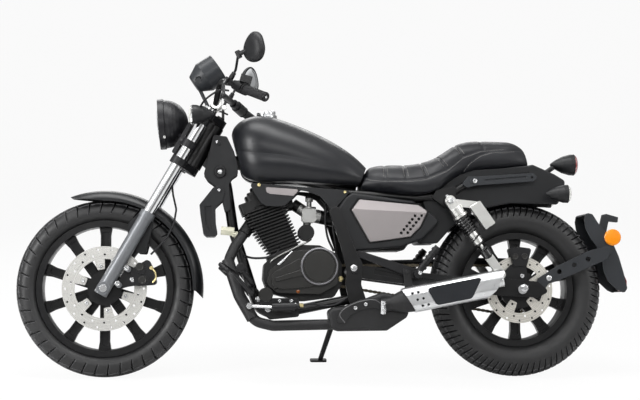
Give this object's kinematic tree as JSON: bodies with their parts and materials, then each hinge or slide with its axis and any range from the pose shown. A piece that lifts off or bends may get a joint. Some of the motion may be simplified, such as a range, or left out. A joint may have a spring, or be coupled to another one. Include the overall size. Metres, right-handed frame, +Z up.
{
  "type": "cruiser motorcycle",
  "caption": "Cruiser motorcycle on its side stand, with steering, turning wheels and a folding stand; dark bodywork, forward-leaning single-cylinder engine and low side silencer.",
  "frame": {"origin": "on the floor under the middle of the machine's box, leaning on its side stand", "axes": "+X forward, +Y to the rider's left, +Z up"},
  "size_m": [2.207, 0.863, 1.2314],
  "materials": {
    "frame_paint": "satin",
    "dark_plastic": "satin",
    "tank_paint": "matte",
    "fender_paint": "satin",
    "bright_steel": "polished",
    "silver_plate": "brushed satin",
    "seat_leather": "satin",
    "grey_cast": "cast, painted grey",
    "black_plastic": "satin",
    "red_lens": "clear red",
    "engine_black": "satin black",
    "engine_cover": "satin",
    "chain_steel": "oiled",
    "exhaust_black": "matte heat paint",
    "silencer_silver": "brushed",
    "shock_silver": "machined",
    "spring_black": "gloss",
    "caliper_black": "black anodised",
    "black_steel": "satin",
    "slider_grey": "satin painted",
    "polished_chrome": "polished",
    "black_cast": "cast, painted black",
    "black_gloss": "gloss",
    "clear_lens": "clear",
    "bar_black": "satin",
    "grip_rubber": "ribbed",
    "hose_rubber": "smooth",
    "wheel_black": "cast, painted black",
    "tyre_rubber": "treaded",
    "disc_steel": "ground"
  },
  "bodies": {
    "chassis": {"frame_backbone": "frame_paint", "frame_cradle": "frame_paint", "frame_rear": "frame_paint", "neck_covers": "dark_plastic", "fuel_tank": "tank_paint", "tank_cap": "bright_steel", "under_tank_trims": "dark_plastic", "side_covers": "dark_plastic", "silver_plates": "silver_plate", "seat": "seat_leather", "grab_rails": "grey_cast", "tail_fender": "black_plastic", "rear_lenses": "red_lens", "crankcase": "engine_black", "barrel": "engine_black", "cylinder_head": "engine_black", "engine_covers": "engine_cover", "intake": "black_plastic", "chain": "chain_steel", "chain_guard": "black_plastic", "exhaust_pipe": "exhaust_black", "silencer": "silencer_silver", "silencer_panel": "exhaust_black", "swingarm": "frame_paint", "rear_axle": "bright_steel", "shocks": "shock_silver", "shock_springs": "spring_black", "rear_caliper": "caliper_black", "rear_mudguard": "dark_plastic", "foot_controls": "black_steel", "passenger_pegs": "black_steel"},
    "fork": {"fork_sliders": "slider_grey", "fork_stanchions": "polished_chrome", "fork_yokes": "black_cast", "front_axle": "bright_steel", "front_fender": "fender_paint", "front_caliper": "caliper_black", "headlight": "black_gloss", "front_indicators": "black_plastic", "front_lenses": "clear_lens", "handlebar": "bar_black", "grips": "grip_rubber", "bar_controls": "black_cast", "mirrors": "black_plastic", "instrument_pod": "dark_plastic", "brake_hose": "hose_rubber"},
    "front_wheel": {"front_rim": "wheel_black", "front_tyre": "tyre_rubber", "front_disc": "disc_steel"},
    "rear_wheel": {"rear_rim": "wheel_black", "rear_tyre": "tyre_rubber", "rear_disc": "disc_steel", "rear_sprocket": "chain_steel"},
    "side_stand": {"side_stand": "frame_paint"}
  },
  "joints": [
    {"name": "steering", "type": "hinge", "parent": "chassis", "child": "fork", "pos_m": [0.48096, 0.05504, 0.74882], "axis": [-0.5, -0.1355, 0.8554], "range_deg": [-38, 38]},
    {"name": "front_wheel_spin", "type": "hinge", "parent": "fork", "child": "front_wheel", "pos_m": [0.78768, 0.12407, 0.313], "axis": [0, 0.9877, 0.1564], "continuous": true},
    {"name": "rear_wheel_spin", "type": "hinge", "parent": "chassis", "child": "rear_wheel", "pos_m": [-0.6925, 0.12454, 0.31003], "axis": [0, 0.9877, 0.1564], "continuous": true},
    {"name": "side_stand_fold", "type": "hinge", "parent": "chassis", "child": "side_stand", "pos_m": [-0.0555, 0.00454, 0.21104], "axis": [-0.1417, 0.843, -0.5188], "range_deg": [0, 103.74]}
  ]
}
